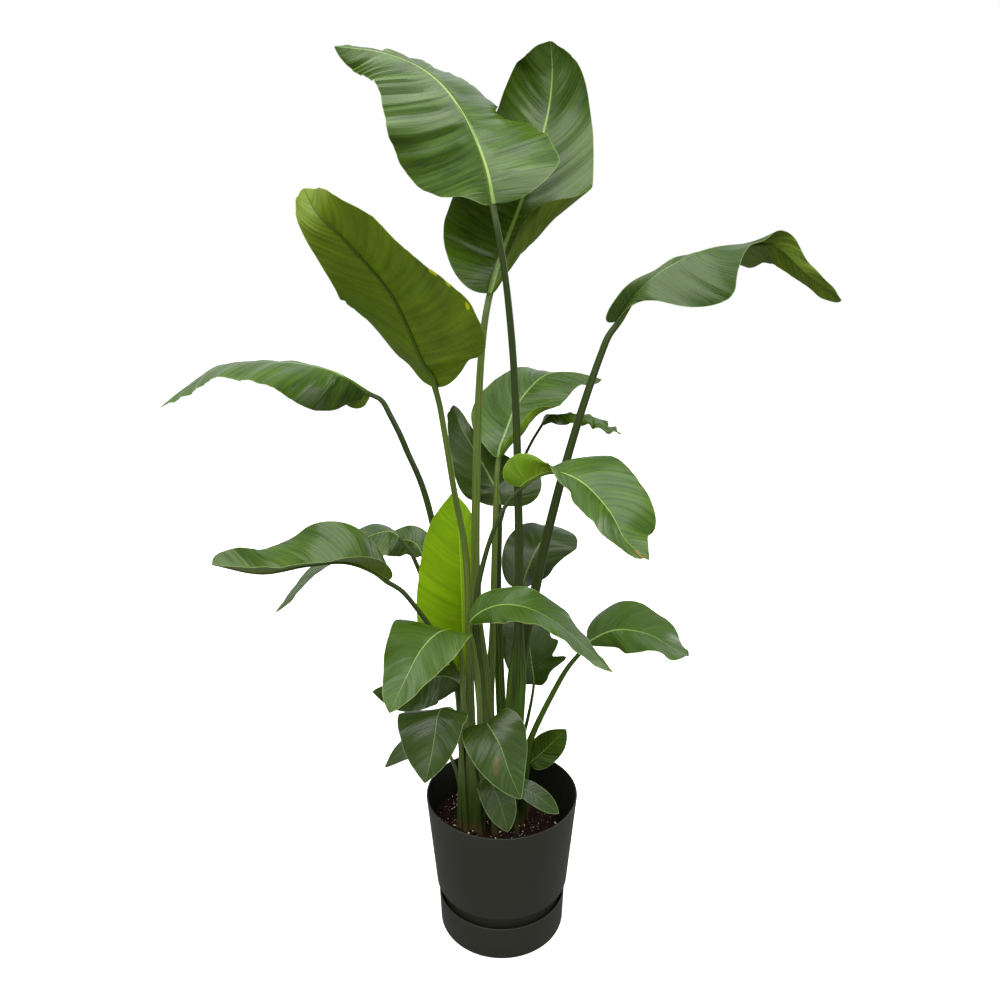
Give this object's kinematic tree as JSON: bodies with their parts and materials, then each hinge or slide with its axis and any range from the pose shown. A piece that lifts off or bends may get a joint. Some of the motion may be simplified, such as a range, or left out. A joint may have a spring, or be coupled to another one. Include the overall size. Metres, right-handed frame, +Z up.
{
  "type": "potted bird of paradise plant",
  "caption": "Tall house plant with stalked paddle-shaped leaves, growing from soil in a round tapered dark plastic planter that stands in a low water tray.",
  "frame": {"origin": "on the planter's axis, at the underside of the water tray, on the floor", "axes": "+Z up along the planter's axis; -Y is the front that the picture shows; +X is to the right in it"},
  "size_m": [1.1453, 0.5334, 1.6488],
  "materials": {
    "planter_plastic": "dark anthracite plastic with a faint satin sheen",
    "soil": "damp dark reddish brown potting soil with white perlite",
    "leaf_green": "waxy green leaf with fine parallel side veins and a paler midrib",
    "leaf_olive": "waxy leaf, its duller olive underside turned to the front",
    "leaf_young": "thin young leaf, bright yellow green with light coming through it"
  },
  "bodies": {
    "root": {"planter_body": "planter_plastic", "water_tray": "planter_plastic", "soil": "soil", "leaf_01_crown_left": "leaf_green", "leaf_02_crown_back": "leaf_green", "leaf_03_olive_left": "leaf_olive", "leaf_04_long_right": "leaf_green", "leaf_05_long_left": "leaf_green", "leaf_06_boat_left": "leaf_green", "leaf_07_left_back": "leaf_green", "leaf_08_left_far_back": "leaf_green", "leaf_09_young_upright": "leaf_young", "leaf_10_middle_back": "leaf_green", "leaf_11_dark_back": "leaf_green", "leaf_12_right_middle": "leaf_green", "leaf_13_front_arching": "leaf_green", "leaf_14_right_low": "leaf_green", "leaf_15_front_left": "leaf_green", "leaf_16_under_left": "leaf_green", "leaf_17_rim_left": "leaf_green", "leaf_18_rim_front": "leaf_green", "leaf_19_rim_right": "leaf_green", "leaf_20_soil_front": "leaf_green", "leaf_21_soil_right": "leaf_green", "leaf_22_rim_far_left": "leaf_green", "leaf_23_right_back": "leaf_green", "leaf_24_low_back": "leaf_green", "leaf_25_thin_right_back": "leaf_green"}
  },
  "joints": []
}
